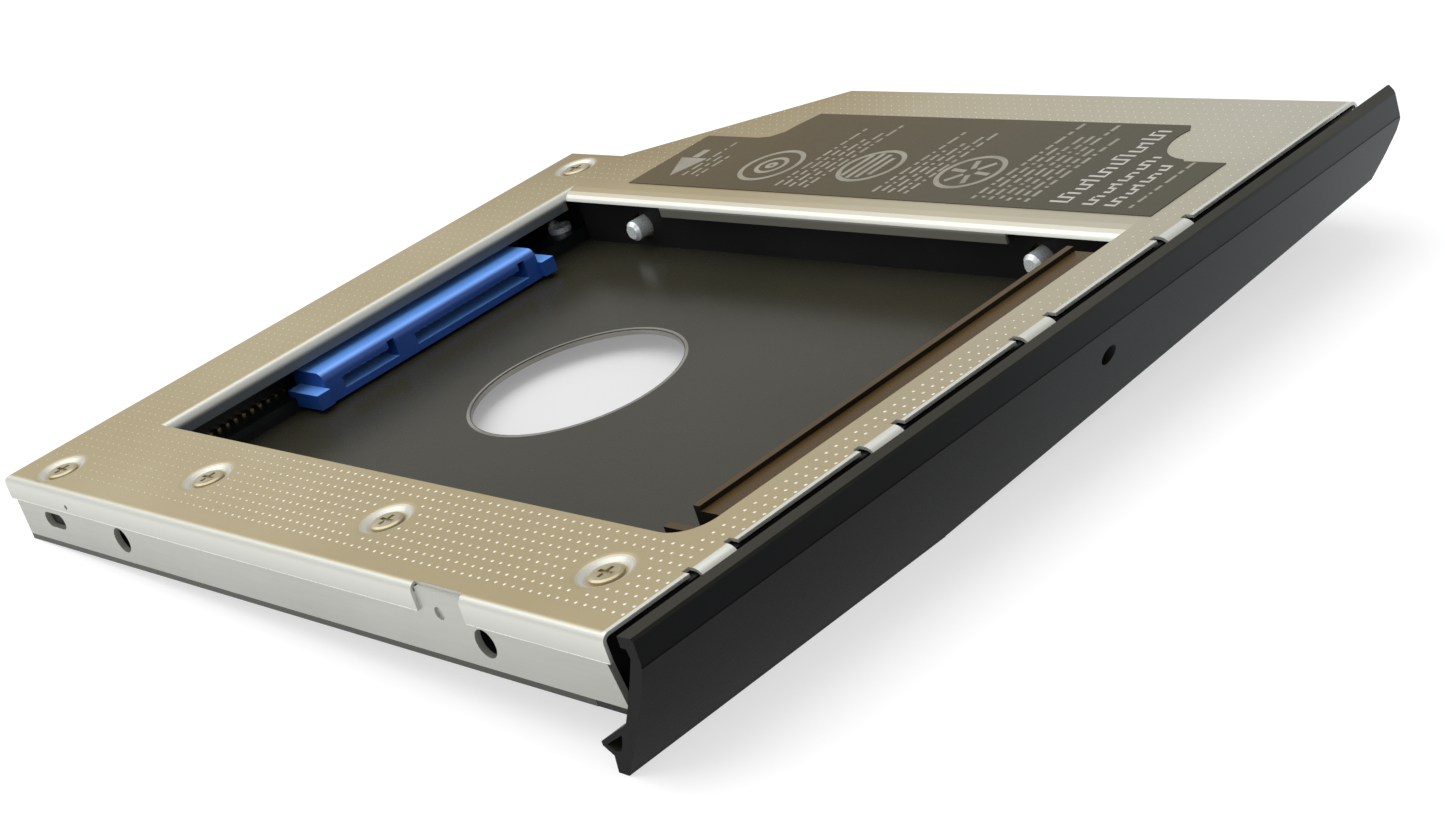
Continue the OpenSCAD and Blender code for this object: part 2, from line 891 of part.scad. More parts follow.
module bezel() {
    hook_end = 50;
    color([0.12, 0.13, 0.14])
        difference() {
            union() {
                along_x(bezel_left, bezel_right)
                    bezel_skin_outline();
                along_x(bezel_left, bezel_left + hook_end)
                    bezel_hook_outline();
                along_x(left + 3, right - 3)
                    bezel_bar_outline();
            }
            // The lower edge rises towards the right
            translate([-17, face_front - over, bezel_low + 0.1])
                rotate([0, -atan(edge_slope), 0])
                    translate([0, 0, -20])
                        cube([body_width, 30, 20]);
            // Rounded right end: its front corner, and its lower part
            translate([0, 0, bezel_low - over])
                linear_extrude(top + bezel_rise - bezel_low + 2 * over)
                    polygon([
                        [bezel_right - 2, face_front - over],
                        [bezel_right - 2, face_front],
                        [bezel_right + 0.1, face_front + 2.3],
                        [bezel_right + over, face_front - over]
                    ]);
            along_y(face_front - over, front + 8)
                polygon([
                    [bezel_right + over, crease_z + 2.2],
                    [bezel_right + 0.1, crease_z + 1.9],
                    [bezel_right - 1.7, crease_z + 0.4],
                    [bezel_right - 1.9, crease_z - 2],
                    [bezel_right - 3.1, crease_z - 4.7],
                    [bezel_right - 4.5, crease_z - 7.3],
                    [bezel_right - 5.2, crease_z - 9],
                    [bezel_right + over, crease_z - 9]
                ]);
            // Crease at the foot of the upright strip
            translate([bezel_left - over, face_front, crease_z])
                rotate([0, 90, 0])
                    cylinder(h = bezel_right - bezel_left + 2 * over, r = 0.15, $fn = 16);
            rod_y(7.4, face_front - over, front - 0.5, 3.8, eject_hole_radius);
            // Room for the cover's front tabs
            block(left, front - 1.4, crease_z - 1.1, right, front + over, crease_z + over);
        }
}

// ---- Adapter board ----
receptacle_x = bay_mid + receptacle_offset;
receptacle_front = drive_rear - mating_depth;
receptacle_rear = receptacle_front + receptacle_depth;
receptacle_low = base_sheet + 0.5;
receptacle_high = receptacle_low + receptacle_height;
slot_low = receptacle_low + 1;
slot_high = slot_low + 1.7;
slot_rear = receptacle_front + 5;
signal_start = receptacle_x - receptacle_width / 2 + 2.9;
signal_width = 9.6;
power_start = signal_start + signal_width + 3.4;
power_width = 20.9;

board_left = left + 8.5;
board_right = step_x - 9.7;
board_front = slot_rear;
board_rear = rear - wall_in - tray_wall - 0.3;
board_low = tray_floor;
board_high = board_low + board_sheet;
board_screw_spots = [[board_left + 4, board_front + 3.5], [board_right - 3.2, board_front + 3.5]];

plug_left = left + plug_from_left - plug_width / 2;
plug_low = board_high;
plug_high = min(plug_low + 3.4, top - skirt_height - 0.1);
plug_front = rear - 7;

bracket_z = lock_z + 0.6;
bracket_spots = [step_x - 9 - bracket_spacing, step_x - 9];

module adapter_board() {
    color([0.10, 0.25, 0.16])
        difference() {
            block(board_left, board_front, board_low, board_right, board_rear, board_high);
            for (spot = board_screw_spots)
                translate([spot[0], spot[1], 0])
                    cylinder(h = top, r = screw_radius + 0.2);
        }
}

module board_screws() {
    color([0.72, 0.73, 0.74])
        for (spot = board_screw_spots)
            translate([spot[0], spot[1], board_high]) {
                difference() {
                    cylinder(h = 0.8, r = 1.7);
                    translate([0, 0, 0.8])
                        cross_recess(0.4);
                }
                translate([0, 0, -1.9])
                    cylinder(h = 1.9, r = screw_radius);
            }
}

module board_capacitors() {
    color([0.62, 0.52, 0.38])
        for (i = [0:4])
            translate([receptacle_x - 16 + i * 6, receptacle_rear + 2.6, board_high])
                cube([2, 1.25, 0.9]);
}

module sata_receptacle() {
    w = receptacle_width / 2;
    edge = 1.3;
    color([0.10, 0.28, 0.72])
        difference() {
            union() {
                along_x(receptacle_x - w, receptacle_x + w) {
                    translate([receptacle_front, receptacle_low])
                        square([receptacle_depth, receptacle_height - edge]);
                    translate([receptacle_front + edge, receptacle_low])
                        square([receptacle_depth - edge, receptacle_height]);
                    translate([receptacle_front + edge, receptacle_high - edge])
                        circle(edge);
                }
                for (x = [receptacle_x - w - 2.2, receptacle_x + w])
                    block(x, receptacle_front - 1, receptacle_low + 0.2, x + 2.2, receptacle_rear - 1, receptacle_low + 2.4);
            }
            // Cut over the board
            block(left, board_front, 0, right, rear, board_high);
            // Slots for the drive's two tongues, each with its key leg
            block(signal_start, front, slot_low, signal_start + signal_width, slot_rear, slot_high);
            block(signal_start + signal_width - 1.2, front, slot_low, signal_start + signal_width, slot_rear, slot_high + 1);
            block(power_start, front, slot_low, power_start + power_width, slot_rear, slot_high);
            block(power_start + power_width - 1.2, front, slot_low, power_start + power_width, slot_rear, slot_high + 1);
            // Channels that the contacts pass through
            for (x = contact_spots(signal_start, signal_width - 1.2, 7))
                block(x, slot_rear - 0.1, slot_high - 0.25, x + 0.5, rear, slot_high);
            for (x = contact_spots(power_start, power_width - 1.2, 15))
                block(x, slot_rear - 0.1, slot_high - 0.25, x + 0.5, rear, slot_high);
        }
}

// Left edges of a row of contacts
function contact_spots(start, width, count) =
    [for (i = [0:count - 1]) start + width / 2 + (i - (count - 1) / 2) * contact_pitch - 0.25];

// Spring contacts along the top of a slot, each with its tail on the board
module contact_row(start, width, count) {
    color([0.83, 0.66, 0.30])
        for (x = contact_spots(start, width, count))
            translate([x, 0, 0]) {
                block(0, receptacle_front + 0.5, slot_high - 0.25, 0.5, receptacle_rear + 0.3, slot_high);
                block(0, receptacle_rear, board_high, 0.5, receptacle_rear + 0.3, slot_high);
                block(0, receptacle_rear, board_high, 0.5, receptacle_rear + 1.5, board_high + 0.25);
            }
}

module signal_contacts() {
    contact_row(signal_start, signal_width - 1.2, 7);
}

module power_contacts() {
    contact_row(power_start, power_width - 1.2, 15);
}

module rear_plug() {
    color([0.06, 0.06, 0.07])
        difference() {
            block(plug_left, plug_front, plug_low, plug_left + plug_width, rear - 0.1, plug_high);
            block(plug_left + 1, rear - 5, plug_low + 0.6, plug_left + plug_width - 1, rear + over, plug_high - 0.6);
        }
    // Tongues that carry the contacts
    color([0.06, 0.06, 0.07]) {
        block(plug_left + 2, rear - 5.2, plug_low + 1.2, plug_left + 11, rear - 1, plug_low + 2.1);
        block(plug_left + 13.2, rear - 5.2, plug_low + 1.2, plug_left + plug_width - 2, rear - 1, plug_low + 2.1);
    }
}

module rear_plug_contacts() {
    color([0.83, 0.66, 0.30]) {
        for (i = [0:6])
            block(plug_left + 2.45 + i * 1.27, rear - 4.8, plug_low + 2.1, plug_left + 2.95 + i * 1.27, rear - 1.4, plug_low + 2.25);
        for (i = [0:5])
            block(plug_left + 13.9 + i * 1.27, rear - 4.8, plug_low + 2.1, plug_left + 14.4 + i * 1.27, rear - 1.4, plug_low + 2.25);
        for (i = [0:12])
            block(plug_left + 3.5 + i * 1.4, plug_front - 1.2, board_high, plug_left + 4 + i * 1.4, plug_front, board_high + 0.25);
    }
}

top_cover();
cover_label();
cover_screws();
base_plate();
base_screws();
left_wall();
right_wall();
rear_wall();
left_rail();
right_rail();
front_beam();
rear_tray();
thread_inserts();
lock_screw_left_rear();
lock_screw_left_front();
lock_screw_right_rear();
lock_screw_right_front();
retainer_bar();
bezel();
adapter_board();
board_screws();
board_capacitors();
sata_receptacle();
signal_contacts();
power_contacts();
rear_plug();
rear_plug_contacts();
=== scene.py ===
"""Looks for an empty drive caddy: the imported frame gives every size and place, in metres."""

import math

import bmesh
import bpy
from mathutils import Matrix, Vector


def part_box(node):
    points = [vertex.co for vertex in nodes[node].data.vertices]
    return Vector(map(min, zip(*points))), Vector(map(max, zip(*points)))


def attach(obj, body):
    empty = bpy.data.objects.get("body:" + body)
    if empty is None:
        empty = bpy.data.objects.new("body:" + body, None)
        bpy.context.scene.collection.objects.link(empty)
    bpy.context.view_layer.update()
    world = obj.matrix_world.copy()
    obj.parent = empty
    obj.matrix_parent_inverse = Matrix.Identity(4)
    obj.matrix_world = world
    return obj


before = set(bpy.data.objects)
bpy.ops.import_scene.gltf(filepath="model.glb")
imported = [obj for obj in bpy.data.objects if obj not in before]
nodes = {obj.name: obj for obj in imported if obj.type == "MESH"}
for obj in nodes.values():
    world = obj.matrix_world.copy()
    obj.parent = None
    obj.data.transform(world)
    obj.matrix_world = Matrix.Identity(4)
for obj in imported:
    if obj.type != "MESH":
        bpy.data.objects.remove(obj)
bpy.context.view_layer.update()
MM = 0.001
scene = bpy.context.scene
scene.view_settings.view_transform = "Standard"

# ---------------------------------------------------------------- camera
LENS_MM, SENSOR_MM = 67.23, 36.0
CAMERA_PLACE = Vector((-0.187289, -0.262588, 0.123476))
CAMERA_RIGHT = Vector((0.69578546, -0.6558959, -0.29271686))
CAMERA_DOWN = Vector((-0.4673095, -0.103906, -0.87796662))
CAMERA_AHEAD = Vector((0.54543967, 0.74766578, -0.37880266))


def make_camera():
    data = bpy.data.cameras.new("studio_camera")
    data.sensor_width, data.lens = SENSOR_MM, LENS_MM
    data.clip_start, data.clip_end = 0.01, 20.0
    camera = bpy.data.objects.new("studio_camera", data)
    scene.collection.objects.link(camera)
    turn = Matrix((CAMERA_RIGHT, -CAMERA_DOWN, -CAMERA_AHEAD)).transposed()
    camera.matrix_world = Matrix.Translation(CAMERA_PLACE) @ turn.to_4x4()
    scene.camera = camera


make_camera()

# ---------------------------------------------------------------- places taken from the frame
cover_low, cover_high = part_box("top_cover")
base_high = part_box("base_plate")[1]
bezel_low, bezel_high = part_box("bezel")
label_low, label_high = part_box("cover_label")
TOP = label_low.z
LEFT, RIGHT = cover_low.x, cover_high.x
REAR = cover_high.y
FRONT = -REAR
BAY_LEFT, BAY_FRONT = LEFT + 17.5 * MM, FRONT + 6.15 * MM
BAY_RIGHT, BAY_REAR = BAY_LEFT + 71.65 * MM, BAY_FRONT + 105.9 * MM
STEP_X, STEP_Y = RIGHT - 25 * MM, REAR - 12.5 * MM
HOLE_CENTRE = Vector((-8.975 * MM, 9.85 * MM))
LOCK_ROWS = (35.8 * MM, -40.8 * MM)
SLOT_ROW = REAR - 9.7 * MM
DRIVER_HOLE_REACH, SLOT_REACH = 1.78 * MM, 2.7 * MM
SKIRT_HEIGHT = 3.2
DIMPLES = [(-54.3, 25.8), (-54.3, -13.2), (-54.3, -52.55), (-59.5, 54.55), (33.8, 56.25)]


# ---------------------------------------------------------------- node helpers
def new_material(name):
    material = bpy.data.materials.new(name)
    material.use_nodes = True
    tree = material.node_tree
    tree.nodes.clear()
    out = tree.nodes.new("ShaderNodeOutputMaterial")
    shader = tree.nodes.new("ShaderNodeBsdfPrincipled")
    tree.links.new(shader.outputs["BSDF"], out.inputs["Surface"])
    return material, tree, shader


def place_of_surface(tree, stretch=(1, 1, 1)):
    """Object coordinates, stretched along each axis."""
    where = tree.nodes.new("ShaderNodeTexCoord")
    mapping = tree.nodes.new("ShaderNodeMapping")
    mapping.inputs["Scale"].default_value = stretch
    tree.links.new(where.outputs["Object"], mapping.inputs["Vector"])
    return mapping.outputs["Vector"]


def noise(tree, vector, scale, detail=2.0, roughness=0.5):
    node = tree.nodes.new("ShaderNodeTexNoise")
    node.inputs["Scale"].default_value = scale
    node.inputs["Detail"].default_value = detail
    node.inputs["Roughness"].default_value = roughness
    tree.links.new(vector, node.inputs["Vector"])
    return node.outputs["Fac"]


def spread(tree, value, low, high, to_low, to_high):
    node = tree.nodes.new("ShaderNodeMapRange")
    for socket, number in zip(node.inputs[1:5], (low, high, to_low, to_high)):
        socket.default_value = number
    tree.links.new(value, node.inputs["Value"])
    return node.outputs["Result"]


def blend_colours(tree, share, first, second):
    node = tree.nodes.new("ShaderNodeMix")
    node.data_type = "RGBA"
    tree.links.new(share, node.inputs["Factor"])
    for socket, colour in ((node.inputs[6], first), (node.inputs[7], second)):
        if isinstance(colour, tuple):
            socket.default_value = (*colour, 1.0)
        else:
            tree.links.new(colour, socket)
    return node.outputs[2]


def maths(tree, operation, first, second=None):
    node = tree.nodes.new("ShaderNodeMath")
    node.operation = operation
    for socket, value in zip(node.inputs, (first, second)):
        if value is None:
            continue
        if isinstance(value, (int, float)):
            socket.default_value = value
        else:
            tree.links.new(value, socket)
    return node.outputs[0]


def bumpy(tree, shader, height, distance):
    node = tree.nodes.new("ShaderNodeBump")
    node.inputs["Strength"].default_value = 1.0
    node.inputs["Distance"].default_value = distance
    tree.links.new(height, node.inputs["Height"])
    tree.links.new(node.outputs["Normal"], shader.inputs["Normal"])


def surface(name, colours, rough, metallic, grain, patch, specular=0.5):
    """A finish with patchy colour, uneven gloss and a fine grain."""
    material, tree, shader = new_material(name)
    place = place_of_surface(tree)
    patches = spread(tree, noise(tree, place, patch, 3), 0.35, 0.65, 0, 1)
    fine = noise(tree, place, grain[0], 3, 0.6)
    tree.links.new(blend_colours(tree, patches, *colours), shader.inputs["Base Color"])
    tree.links.new(spread(tree, fine, 0.3, 0.7, *rough), shader.inputs["Roughness"])
    bumpy(tree, shader, fine, grain[1])
    shader.inputs["Metallic"].default_value = metallic
    shader.inputs["Specular IOR Level"].default_value = specular
    return material


def facing_up(tree, low, high):
    """1 where the surface faces straight up, 0 on folds, walls and undersides."""
    geometry = tree.nodes.new("ShaderNodeNewGeometry")
    apart = tree.nodes.new("ShaderNodeSeparateXYZ")
    tree.links.new(geometry.outputs["Normal"], apart.inputs["Vector"])
    return spread(tree, apart.outputs["Z"], low, high, 0, 1)


def axis_share(tree, vector, axis, low, high):
    """0 to 1 between two places along an axis."""
    apart = tree.nodes.new("ShaderNodeSeparateXYZ")
    tree.links.new(vector, apart.inputs["Vector"])
    return spread(tree, apart.outputs[axis], low, high, 0, 1)


def cover_finish():
    """Tan coating that turns greyer to the front right as a painted reflection and darker brown towards the
    rear right; silver metal on every bend and on the skirt, lighter towards the top as a painted sheen;
    painted shade on the rear and right window flanges; a painted highlight along the front cut edge.
    """
    material, tree, shader = new_material("cover_coating")
    place = place_of_surface(tree)
    fine = noise(tree, place, 5000, 3, 0.6)
    patches = spread(tree, noise(tree, place, 22, 3), 0.35, 0.65, 0, 1)
    tan = blend_colours(tree, patches, (0.35, 0.285, 0.155), (0.40, 0.335, 0.20))
    painted_glare_grey = blend_colours(tree, patches, (0.40, 0.385, 0.315), (0.44, 0.425, 0.345))
    brown = blend_colours(tree, patches, (0.25, 0.19, 0.085), (0.30, 0.235, 0.115))
    # painted reflection: the coating turns greyer towards the front right
    right = axis_share(tree, place, "X", -40 * MM, 55 * MM)
    forward = axis_share(tree, place, "Y", 30 * MM, -50 * MM)
    coat_and_painted_glare = blend_colours(tree, maths(tree, "MULTIPLY", right, forward), tan, painted_glare_grey)
    far_rear = maths(tree, "MULTIPLY", axis_share(tree, place, "X", 10 * MM, 40 * MM),
                     axis_share(tree, place, "Y", 5 * MM, 45 * MM))
    coat_and_painted_glare = blend_colours(tree, far_rear, coat_and_painted_glare, brown)
    # painted shade: a dark bluish colour on the rear window flange below its roll, kept off the outer left and
    # rear edges
    rear_flange_painted_shade = maths(tree, "MULTIPLY",
                     axis_share(tree, place, "Y", BAY_REAR - 0.4 * MM, BAY_REAR - 0.2 * MM),
                     axis_share(tree, place, "Z", TOP - 1.0 * MM, TOP - 1.5 * MM))
    inward = maths(tree, "MULTIPLY", axis_share(tree, place, "X", LEFT + 2 * MM, LEFT + 3 * MM),
                   axis_share(tree, place, "Y", REAR - 2 * MM, REAR - 3 * MM))
    # painted sheen: the silver of bends and skirt turns lighter towards the top
    low_share = axis_share(tree, place, "Z", TOP - SKIRT_HEIGHT * MM, TOP - 0.9 * MM)
    silver = blend_colours(tree, low_share, (0.47, 0.48, 0.44), (0.58, 0.59, 0.54))
    bare_and_painted_light = blend_colours(tree, maths(tree, "MULTIPLY", rear_flange_painted_shade, inward), silver, (0.13, 0.15, 0.165))
    # painted shade: the lower part of the right window flange, below its lighter roll, gets a darker colour
    border = maths(tree, "MULTIPLY",
                   axis_share(tree, place, "X", BAY_RIGHT - 1.0 * MM, BAY_RIGHT - 0.8 * MM),
                   axis_share(tree, place, "Z", TOP - 0.9 * MM, TOP - 1.6 * MM))
    steep_flange_painted_shade = maths(tree, "MULTIPLY", border, axis_share(tree, place, "X", RIGHT - 2 * MM, RIGHT - 3 * MM))
    bare_and_painted_light = blend_colours(tree, steep_flange_painted_shade, bare_and_painted_light, (0.21, 0.21, 0.175))
    # the front 0.55 mm, cut edge and tabs, takes the silver colour: uncoated metal that also stands for a
    # painted highlight
    front_cut = axis_share(tree, place, "Y", FRONT + 0.55 * MM, FRONT + 0.65 * MM)
    up = maths(tree, "MULTIPLY", facing_up(tree, 0.88, 0.995), front_cut)
    tree.links.new(blend_colours(tree, up, bare_and_painted_light, coat_and_painted_glare), shader.inputs["Base Color"])
    tree.links.new(spread(tree, fine, 0.3, 0.7, 0.36, 0.46), shader.inputs["Roughness"])
    shader.inputs["Metallic"].default_value = 0.5
    bumpy(tree, shader, fine, 0.000006)
    return material


def wall_finish():
    """Plated steel, lighter towards the top as a painted sheen, with painted shade inside the holes for the
    lock screws and the slot.
    """
    material, tree, shader = new_material("wall_plating")
    place = place_of_surface(tree)
    grain = noise(tree, place_of_surface(tree, (1, 0.05, 1)), 2500, 3, 0.6)
    patches = spread(tree, noise(tree, place, 30, 3), 0.35, 0.65, 0, 1)
    steel = blend_colours(tree, patches, (0.34, 0.345, 0.31), (0.39, 0.395, 0.36))
    painted_sheen_steel = blend_colours(tree, patches, (0.40, 0.405, 0.37), (0.44, 0.445, 0.41))
    # painted sheen: lighter towards the top of the wall
    plain = blend_colours(tree, axis_share(tree, place, "Z", 1.5 * MM, 6.5 * MM), steel, painted_sheen_steel)
    apart = tree.nodes.new("ShaderNodeSeparateXYZ")
    tree.links.new(place, apart.inputs["Vector"])
    # painted shade: nearly black inside the lock screw holes and the slot
    clear_of_painted_hole_shade = axis_share(tree, place, "X", LEFT + 0.53 * MM, LEFT + 0.50 * MM)
    for y, reach in ((LOCK_ROWS[0], DRIVER_HOLE_REACH), (LOCK_ROWS[1], DRIVER_HOLE_REACH),
                     (SLOT_ROW, SLOT_REACH)):
        dy = maths(tree, "ABSOLUTE", maths(tree, "SUBTRACT", apart.outputs["Y"], y))
        clear_of_painted_hole_shade = maths(tree, "MAXIMUM", clear_of_painted_hole_shade, spread(tree, dy, reach, reach + 0.05 * MM, 0, 1))
    tree.links.new(blend_colours(tree, clear_of_painted_hole_shade, (0.02, 0.022, 0.022), plain), shader.inputs["Base Color"])
    tree.links.new(spread(tree, grain, 0.3, 0.7, 0.34, 0.46), shader.inputs["Roughness"])
    shader.inputs["Metallic"].default_value = 0.6
    bumpy(tree, shader, grain, 0.000004)
    return material


def bezel_finish():
    """Black plastic that catches more light towards its far end, with a dull top strip."""
    material, tree, shader = new_material("bezel_plastic")
    place = place_of_surface(tree)
    fine = noise(tree, place, 6000, 3, 0.6)
    patches = spread(tree, noise(tree, place, 25, 3), 0.35, 0.65, 0, 1)
    # painted light: the colour turns lighter towards the far end
    along = maths(tree, "POWER", axis_share(tree, place, "X", bezel_low.x, bezel_high.x), 2.4)
    near = blend_colours(tree, patches, (0.0014, 0.0018, 0.0020), (0.0026, 0.0032, 0.0036))
    far = blend_colours(tree, patches, (0.070, 0.076, 0.077), (0.082, 0.088, 0.089))
    face = blend_colours(tree, along, near, far)
    strip = blend_colours(tree, patches, (0.022, 0.0215, 0.0145), (0.030, 0.029, 0.021))
    colour = blend_colours(tree, facing_up(tree, 0.6, 0.9), face, strip)
    tree.links.new(colour, shader.inputs["Base Color"])
    tree.links.new(spread(tree, fine, 0.3, 0.7, 0.42, 0.52), shader.inputs["Roughness"])
    shader.inputs["Specular IOR Level"].default_value = 0.07
    bumpy(tree, shader, fine, 0.000006)
    return material


def label_finish():
    """Printed film, warm brown at the rear and greyer at the front."""
    material, tree, shader = new_material("label_film")
    place = place_of_surface(tree)
    fine = noise(tree, place, 3500, 3, 0.6)
    patches = spread(tree, noise(tree, place, 12, 3), 0.35, 0.65, 0, 1)
    warm = blend_colours(tree, patches, (0.068, 0.046, 0.012), (0.082, 0.058, 0.020))
    cool = blend_colours(tree, patches, (0.049, 0.044, 0.025), (0.060, 0.055, 0.034))
    colour = blend_colours(tree, axis_share(tree, place, "Y", 30 * MM, -40 * MM), warm, cool)
    tree.links.new(colour, shader.inputs["Base Color"])
    tree.links.new(spread(tree, fine, 0.3, 0.7, 0.30, 0.38), shader.inputs["Roughness"])
    shader.inputs["Specular IOR Level"].default_value = 0.13
    bumpy(tree, shader, fine, 0.000002)
    return material


def two_way(name, up_colours, side_colours, rough, grain, specular, patch=40):
    """A finish with one colour on faces that look up and another on the rest."""
    material, tree, shader = new_material(name)
    place = place_of_surface(tree)
    fine = noise(tree, place, grain[0], 3, 0.6)
    patches = spread(tree, noise(tree, place, patch, 3), 0.35, 0.65, 0, 1)
    colour = blend_colours(tree, facing_up(tree, 0.6, 0.9), blend_colours(tree, patches, *side_colours),
                           blend_colours(tree, patches, *up_colours))
    tree.links.new(colour, shader.inputs["Base Color"])
    tree.links.new(spread(tree, fine, 0.3, 0.7, *rough), shader.inputs["Roughness"])
    shader.inputs["Specular IOR Level"].default_value = specular
    bumpy(tree, shader, fine, grain[1])
    return material


cover_paint = cover_finish()
plated_wall = wall_finish()
dark_base = surface("base_coating", ((0.026, 0.025, 0.016), (0.033, 0.031, 0.021)), (0.20, 0.28),
                    0.0, (4500, 0.000003), 20, specular=0.18)
frame_black = surface("frame_plastic", ((0.006, 0.006, 0.006), (0.010, 0.010, 0.010)), (0.45, 0.6),
                      0.0, (2500, 0.00001), 60, specular=0.2)
bezel_black = bezel_finish()
bar_black = two_way("bar_plastic", ((0.058, 0.034, 0.010), (0.072, 0.043, 0.014)),
                    ((0.010, 0.009, 0.007), (0.018, 0.015, 0.012)), (0.26, 0.34), (3000, 0.000006),
                    specular=0.14)
label_olive = label_finish()
label_ink = surface("label_ink", ((0.19, 0.175, 0.13), (0.25, 0.235, 0.18)), (0.40, 0.50), 0.0,
                    (3500, 0.000002), 200)
label_bright = surface("label_bright_ink", ((0.36, 0.35, 0.31), (0.44, 0.43, 0.38)), (0.40, 0.50), 0.0,
                       (3500, 0.000002), 200)
# painted highlight: faces that look up get a far lighter blue than the sides
socket_blue = two_way("socket_plastic", ((0.115, 0.31, 0.82), (0.135, 0.35, 0.88)),
                      ((0.008, 0.052, 0.25), (0.014, 0.066, 0.30)), (0.34, 0.44), (3500, 0.000006),
                      specular=0.6, patch=80)
bright_screw = surface("lock_screw_plating", ((0.74, 0.80, 0.81), (0.86, 0.91, 0.92)), (0.24, 0.34),
                       0.35, (4000, 0.000004), 200)
tan_screw = surface("cover_screw_coating", ((0.36, 0.31, 0.19), (0.48, 0.43, 0.30)), (0.28, 0.40),
                    0.7, (5000, 0.000006), 300)
# painted highlight: a light metal colour for the thin strips along the sheared edges
edge_highlight_metal = surface("cut_edge_highlight", ((0.70, 0.70, 0.64), (0.80, 0.80, 0.74)), (0.25, 0.35), 0.5,
                    (4000, 0.000004), 200)
hole_edge = surface("hole_cut_edge", ((0.20, 0.19, 0.165), (0.28, 0.27, 0.24)), (0.30, 0.42), 0.5,
                    (4000, 0.000006), 100)
# painted highlight: the pressed dots get a far lighter colour than the coating, standing in for their glints
dot_glint_metal = surface("pressed_dot_glint", ((0.72, 0.68, 0.56), (0.82, 0.78, 0.68)), (0.25, 0.35), 0.3,
                    (5000, 0.000002), 300)
black_screw = surface("base_screw_coating", ((0.02, 0.02, 0.02), (0.04, 0.04, 0.04)), (0.3, 0.4),
                      0.4, (4000, 0.000006), 200)
brass = surface("insert_brass", ((0.60, 0.42, 0.16), (0.72, 0.54, 0.24)), (0.2, 0.3), 0.95,
                (3500, 0.000004), 200)
gold = surface("contact_gold", ((0.60, 0.44, 0.18), (0.70, 0.54, 0.26)), (0.22, 0.32), 0.9,
               (5000, 0.000002), 300)
board_green = surface("board_lacquer", ((0.004, 0.009, 0.008), (0.007, 0.014, 0.012)), (0.3, 0.4),
                      0.0, (2500, 0.000008), 150, specular=0.3)
ceramic = surface("capacitor_ceramic", ((0.30, 0.20, 0.11), (0.40, 0.29, 0.17)), (0.4, 0.5), 0.0,
                  (5000, 0.00001), 500)
plug_black = surface("plug_plastic", ((0.008, 0.008, 0.009), (0.014, 0.014, 0.015)), (0.35, 0.5),
                     0.0, (3000, 0.00001), 80)

FINISHES = {
    "top_cover": cover_paint, "cover_label": label_olive, "cover_screws": tan_screw,
    "base_plate": dark_base, "base_screws": black_screw, "left_wall": plated_wall,
    "right_wall": plated_wall, "rear_wall": plated_wall, "left_rail": frame_black,
    "right_rail": frame_black, "front_beam": frame_black, "rear_tray": frame_black,
    "thread_inserts": brass, "lock_screw_left_rear": bright_screw,
    "lock_screw_left_front": bright_screw, "lock_screw_right_rear": bright_screw,
    "lock_screw_right_front": bright_screw, "retainer_bar": bar_black, "bezel": bezel_black,
    "adapter_board": board_green, "board_screws": bright_screw, "board_capacitors": ceramic,
    "sata_receptacle": socket_blue, "signal_contacts": gold, "power_contacts": gold,
    "rear_plug": plug_black, "rear_plug_contacts": gold,
}
for node_name, material in FINISHES.items():
    mesh = nodes[node_name].data
    mesh.materials.clear()
    mesh.materials.append(material)


# ---------------------------------------------------------------- pieces
def new_piece(name, mesh, body="body"):
    piece = bpy.data.objects.new(name, mesh)
    scene.collection.objects.link(piece)
    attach(piece, body)
    return piece


def mesh_from(name, bm, material):
    bmesh.ops.recalc_face_normals(bm, faces=bm.faces)
    mesh = bpy.data.meshes.new(name)
    bm.to_mesh(mesh)
    bm.free()
    mesh.materials.append(material)
    return mesh


